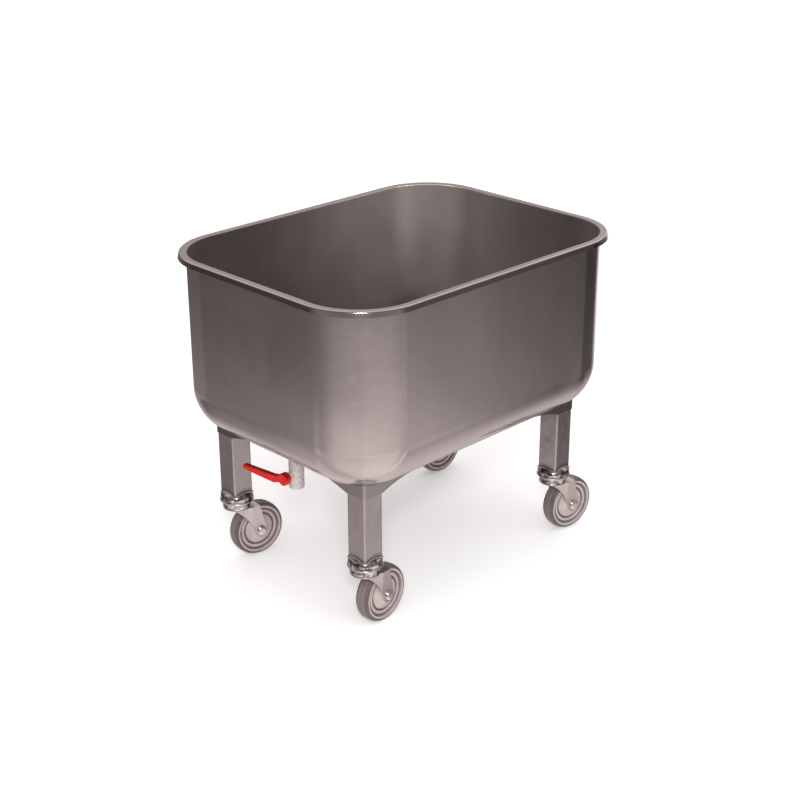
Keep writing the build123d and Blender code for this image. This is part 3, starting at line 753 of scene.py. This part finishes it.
# %% [markdown]
# From a shape to a piece
#
# Every new piece goes the same way: its bmesh becomes a mesh at the origin, shades smoothly with its large
# faces leading, rides on a body, and hides the solids it stands for.

# %% Settle a piece
large_face_weight = 80


def settle(shape, name, body, slot, finish, *stands_for):
    """Make a shape into a piece that rides on a body, in place of the solids it stands for."""
    mesh = bpy.data.meshes.new(name)
    shape.to_mesh(mesh)
    shape.free()
    mesh.materials.clear()
    mesh.materials.append(finish)
    mesh.shade_smooth()
    piece = bpy.data.objects.new(name, mesh)
    scene.collection.objects.link(piece)
    piece.modifiers.new("large_faces_lead", "WEIGHTED_NORMAL").weight = large_face_weight
    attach(piece, body)
    if stands_for:
        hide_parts(*stands_for)
    return piece


# %% [markdown]
# Softened metal
#
# Pressed, cast and turned pieces have no knife edges. They could be modelled anew, but a bevel cut into the
# exact solid keeps every size and place. So each of these pieces is a merged copy of its solid whose flat
# faces are joined again and whose sharp edges are rounded by the radius that such a piece has.

# %% Round the edges of a copy
flat_angle = math.radians(1.0)
sharp_angle = math.radians(25.0)
merge_distance = 0.00001
edge_segments = 3


def soften(node_name, piece_name, radius):
    """A copy of a solid with its sharp edges rounded."""
    node = nodes[node_name]
    shape = bmesh.new()
    shape.from_mesh(node.data)
    bmesh.ops.remove_doubles(shape, verts=shape.verts, dist=merge_distance)
    bmesh.ops.dissolve_limit(shape, angle_limit=flat_angle, verts=shape.verts, edges=shape.edges)
    sharp = [edge for edge in shape.edges if edge.calc_face_angle(0.0) > sharp_angle]
    bmesh.ops.bevel(shape, geom=sharp, offset=radius, segments=edge_segments, profile=0.5, affect="EDGES",
                    clamp_overlap=True, material=-1)
    body = body_of(node)[0]
    return settle(shape, piece_name, body, slots[node_name], node.data.materials[0], node_name)


# %% [markdown]
# The radius is the thickness of the dip on the lever, the break of a pressed edge on the forks, and less on
# cut sheet. The red grip is kept out of the steel's reflections, because the leg beside it shows no red.

# %% Forks, bolts, gussets, valve and lever
mm = 0.001
corners = ("front_left", "front_right", "rear_left", "rear_right")
edge_radii = {
    "lever_grip": 1.5 * mm,
    "lever_core": 0.4 * mm,
    "lever_nut": 0.4 * mm,
    "packing_nut": 0.6 * mm,
    "valve_body": 0.8 * mm,
    "drain_socket": 0.5 * mm,
}
for corner in corners:
    edge_radii["caster_fork_" + corner] = 0.6 * mm
    edge_radii["axle_bolt_" + corner] = 0.5 * mm
    edge_radii["corner_gusset_" + corner] = 0.3 * mm
for name, radius in edge_radii.items():
    made = soften(name, name + "_soft", radius)
    made.visible_glossy = name != "lever_grip"
    print(made.name, "faces:", len(made.data.polygons))

# %% [markdown]
# Wheels
#
# A wheel is turned about its axle, so one section is enough. It is drawn as a closed outline with sharp
# corners, its corners are rounded by a bevel on the vertices, and a full spin makes the ring. A screw
# modifier could turn it too, but after a spin the vertices are there to carry the dust, wear and painted
# shade. That attribute comes from a vertex's place along the axle and its distance from it.

# %% Spin a section about an axle
spin_steps = 96
corner_segments = 4


def spin_section(joint, outline, rounded, radius):
    """Closed ring about a joint's axle from (radius, along the axle) points, with some corners rounded."""
    hub = Vector(joint["pos_m"])
    axle = Vector(joint["axis"]).normalized()
    up = Vector((0, 0, 1))
    shape = bmesh.new()
    points = [shape.verts.new(hub + up * out + axle * along) for out, along in outline]
    for first, second in zip(points, points[1:] + points[:1]):
        shape.edges.new((first, second))
    bmesh.ops.bevel(shape, geom=[points[i] for i in rounded], offset=radius, segments=corner_segments,
                    profile=0.5, affect="VERTICES", clamp_overlap=True, material=-1)
    bmesh.ops.spin(shape, geom=shape.verts[:] + shape.edges[:], cent=hub, axis=axle, angle=full_turn,
                   steps=spin_steps, use_merge=True)
    bmesh.ops.remove_doubles(shape, verts=shape.verts, dist=merge_distance)
    bmesh.ops.recalc_face_normals(shape, faces=shape.faces)
    return shape, hub, axle


def set_dust_wear_and_shade(shape, hub, axle, amount):
    """Write the attribute of dust, wear and painted shade from a vertex's place along the axle and out from
    it.
    """
    layer = shape.verts.layers.float.new("dust")
    for vert in shape.verts:
        along = (vert.co - hub).dot(axle)
        out = (vert.co - hub - axle * along).length
        vert[layer] = amount(out, abs(along))


# %% [markdown]
# The centre is a dished disc inside two ring grooves, with a lip that holds the tyre. One half of its outline
# is written from the bush's bore outwards, and the other half mirrors it.

# %% Section of a wheel centre
wheel_radius = joints["wheel_spin_front_left"]["pos_m"][2]
tyre_height = 9.0 * mm
tyre_half = 13.0 * mm
fit_gap = 0.05 * mm
hub_half = 16.0 * mm
bush_bore = 8.0 * mm + fit_gap
hub_edge = 12.0 * mm
seat = wheel_radius - tyre_height
flange = seat + 3.0 * mm
lip_half = tyre_half - 0.2 * mm
lip_root = lip_half - 1.4 * mm
band_half = lip_half - 2.8 * mm
lip = seat - 0.8 * mm
groove = lip - 3.8 * mm
band = groove - 5.4 * mm
disc = band - 3.2 * mm
groove_floor = band_half - 4.0 * mm
ring_floor = band_half - 4.6 * mm
disc_half = band_half - 0.6 * mm
wall_slope = 0.5 * mm
half_outline = [
    (bush_bore, hub_half), (hub_edge, hub_half), (disc - wall_slope, disc_half), (disc, ring_floor),
    (band, ring_floor), (band + wall_slope, band_half), (groove - wall_slope, band_half),
    (groove, groove_floor), (lip, groove_floor), (lip + wall_slope, lip_half), (flange, lip_half),
    (flange, lip_root), (seat - fit_gap, lip_root),
]
centre_outline = half_outline + [(out, -along) for out, along in reversed(half_outline)]
print("wheel centre outline:", len(centre_outline), "points")

# %% Wheel centres
moulded_round = 0.55 * mm


def centre_dust_and_shade(out, along):
    """More dust and painted shade the deeper a ring lies below the disc, and none on the hub."""
    in_groove = max(0.0, disc_half - along) / (disc_half - ring_floor) if out > hub_edge else 0.0
    return min(1.0, in_groove)


for corner in corners:
    ring, hub, axle = spin_section(joints["wheel_spin_" + corner], centre_outline, range(len(centre_outline)),
                                   moulded_round)
    set_dust_wear_and_shade(ring, hub, axle, centre_dust_and_shade)
    made = settle(ring, "wheel_centre_" + corner, "wheel_" + corner, "wheel_grey", finishes["wheel_grey"],
                  "wheel_rim_" + corner)
    print(made.name, "faces:", len(made.data.polygons))

# %% [markdown]
# The tyre has a flat track on each side of a fine mould line, and falls off to rounded shoulders. Its foot
# sits between the lips of the wheel centre, a hair's breadth clear of it, so that no two faces coincide.

# %% Section of a tyre
mould_line = 0.2 * mm
line_half = 0.5 * mm
tread_half = 8.6 * mm
tread_fall = 0.7 * mm
track_half = 4.8 * mm
track_fall = 0.2 * mm
wall_top = flange + 1.4 * mm
shoulder = wall_top + 1.6 * mm
shoulder_half = tyre_half - 1.1 * mm
crown = wheel_radius - mould_line
half_tyre = [
    (seat, lip_root - fit_gap), (flange + fit_gap, lip_root - fit_gap), (flange + fit_gap, lip_half),
    (wall_top, tyre_half), (shoulder, shoulder_half), (crown - tread_fall, tread_half),
    (crown - track_fall, track_half), (crown, 2 * line_half), (crown + mould_line, line_half),
]
tyre_outline = half_tyre + [(out, -along) for out, along in reversed(half_tyre)]
shoulder_points = (4, 5)
last_point = len(tyre_outline) - 1
rounded_points = [*shoulder_points, *[last_point - point for point in reversed(shoulder_points)]]
print("tyre outline:", len(tyre_outline), "points")

# %% Tyres
shoulder_round = 0.9 * mm
wall_fade = 1.1
middle_fade = 0.5


def tyre_wear_and_shade(out, along):
    """Pale along a track on each side of the mould line, dark towards the walls: part wear, part painted
    sheen and shade.
    """
    off_track = (along - track_half) / track_half
    return max(0.0, 1.0 - (wall_fade if off_track > 0.0 else -middle_fade) * off_track)


for corner in corners:
    ring, hub, axle = spin_section(joints["wheel_spin_" + corner], tyre_outline, rounded_points,
                                   shoulder_round)
    set_dust_wear_and_shade(ring, hub, axle, tyre_wear_and_shade)
    made = settle(ring, "tyre_ring_" + corner, "wheel_" + corner, "tyre_grey", finishes["tyre_grey"],
                  "tyre_" + corner)
    print(made.name, "faces:", len(made.data.polygons))

# %% [markdown]
# Beads
#
# Where a leg tube meets its round caster head, a rounded bead follows the tube's outline over the dome, low
# at the tube's edges and high in the middle of its sides. A second bead runs round the head's lower edge. A
# curve with a round bevel is the plain way to lay a bead along a path, and it becomes a mesh before it is
# settled.

# %% Lay a bead along a path
bead_resolution = 4


def lay_bead(name, path, radius, slot, finish):
    """A round bead along a closed path on the chassis."""
    curve = bpy.data.curves.new(name, "CURVE")
    curve.dimensions = "3D"
    curve.bevel_depth = radius
    curve.bevel_resolution = bead_resolution
    line = curve.splines.new("POLY")
    line.points.add(len(path) - 1)
    for point, place in zip(line.points, path):
        point.co = (*place, 1.0)
    line.use_cyclic_u = True
    holder = bpy.data.objects.new(name + "_path", curve)
    mesh = bpy.data.meshes.new_from_object(holder)
    bpy.data.objects.remove(holder)
    shape = bmesh.new()
    shape.from_mesh(mesh)
    bmesh.ops.remove_doubles(shape, verts=shape.verts, dist=merge_distance)
    bmesh.ops.recalc_face_normals(shape, faces=shape.faces)
    return settle(shape, name, "chassis", slot, finish)


def circle(x, y, radius, steps):
    """Level points round a place, one after the other."""
    for step in range(steps):
        angle = full_turn * step / steps
        yield x + radius * math.cos(angle), y + radius * math.sin(angle)


# %% Outline of a leg tube
leg_half = 20.0 * mm
leg_edge = 3.0 * mm
side_steps = 14
edge_steps = 5


def tube_outline(grow):
    """Rounded square round a leg's axis, corner by corner: a short arc, then a straight side."""
    straight = leg_half - leg_edge
    radius = leg_edge + grow
    for quarter in range(4):
        turn = Matrix.Rotation(quarter * quarter_turn, 2)
        for step in range(edge_steps):
            angle = quarter_turn * step / (edge_steps - 1)
            yield turn @ Vector((straight + radius * math.cos(angle), straight + radius * math.sin(angle)))
        for step in range(1, side_steps):
            yield turn @ Vector((straight - 2 * straight * step / side_steps, straight + radius))


print("leg tube:", 2 * leg_half, "m wide")

# %% Beads on the caster heads
head_margin = 1.5 * mm
head_skirt = 9.5 * mm
dome_height = 13.0 * mm
head_radius = (leg_half - leg_edge) * math.sqrt(2) + leg_edge + head_margin
bead_radius = 1.8 * mm
bead_stand = 0.5 * mm
foot_radius = 1.6 * mm
foot_steps = 64
for corner in corners:
    swivel = Vector(joints["swivel_" + corner]["pos_m"])
    head_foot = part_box("caster_head_" + corner)[0].z
    path = []
    for x, y in tube_outline(bead_stand):
        reach = math.hypot(x, y) / (head_radius + bead_stand)
        rise = head_skirt + dome_height * math.sqrt(1.0 - reach * reach)
        path.append((swivel.x + x, swivel.y + y, head_foot + rise))
    made = lay_bead("head_bead_" + corner, path, bead_radius, "head_steel", bead.material)
    print(made.name, "faces:", len(made.data.polygons))
    edge = [(x, y, head_foot + foot_radius) for x, y in circle(swivel.x, swivel.y, head_radius, foot_steps)]
    made = lay_bead("head_edge_" + corner, edge, foot_radius, "head_steel", bead.material)
    print(made.name, "faces:", len(made.data.polygons))

# %% [markdown]
# The drain socket is welded to the underside of the tub, just where its floor starts to round up. The bead
# follows that roundness: its height comes from the circle that joins the floor to the end wall.

# %% Bead round the drain socket
floor_round = 84.0 * mm
rim_reach = 13.5 * mm
weld_radius = 1.2 * mm
weld_steps = 48
drain_low, drain_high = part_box("drain_socket")
drain = (drain_low + drain_high) / 2
socket_radius = (drain_high.y - drain_low.y) / 2
tub_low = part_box("tank_shell")[0]
end_wall = tub_low.x + rim_reach


def underside(x):
    """Height of the tub's underside below the end wall's rounding."""
    short = max(0.0, floor_round - (x - end_wall))
    return tub_low.z + floor_round - math.sqrt(floor_round**2 - short**2)


weld_path = []
for x, y in circle(drain.x, drain.y, socket_radius, weld_steps):
    weld_path.append((x, y, underside(x) - weld_radius / 2))
made = lay_bead("socket_weld", weld_path, weld_radius, "valve_steel", finishes["valve_steel"])
print(made.name, "faces:", len(made.data.polygons))
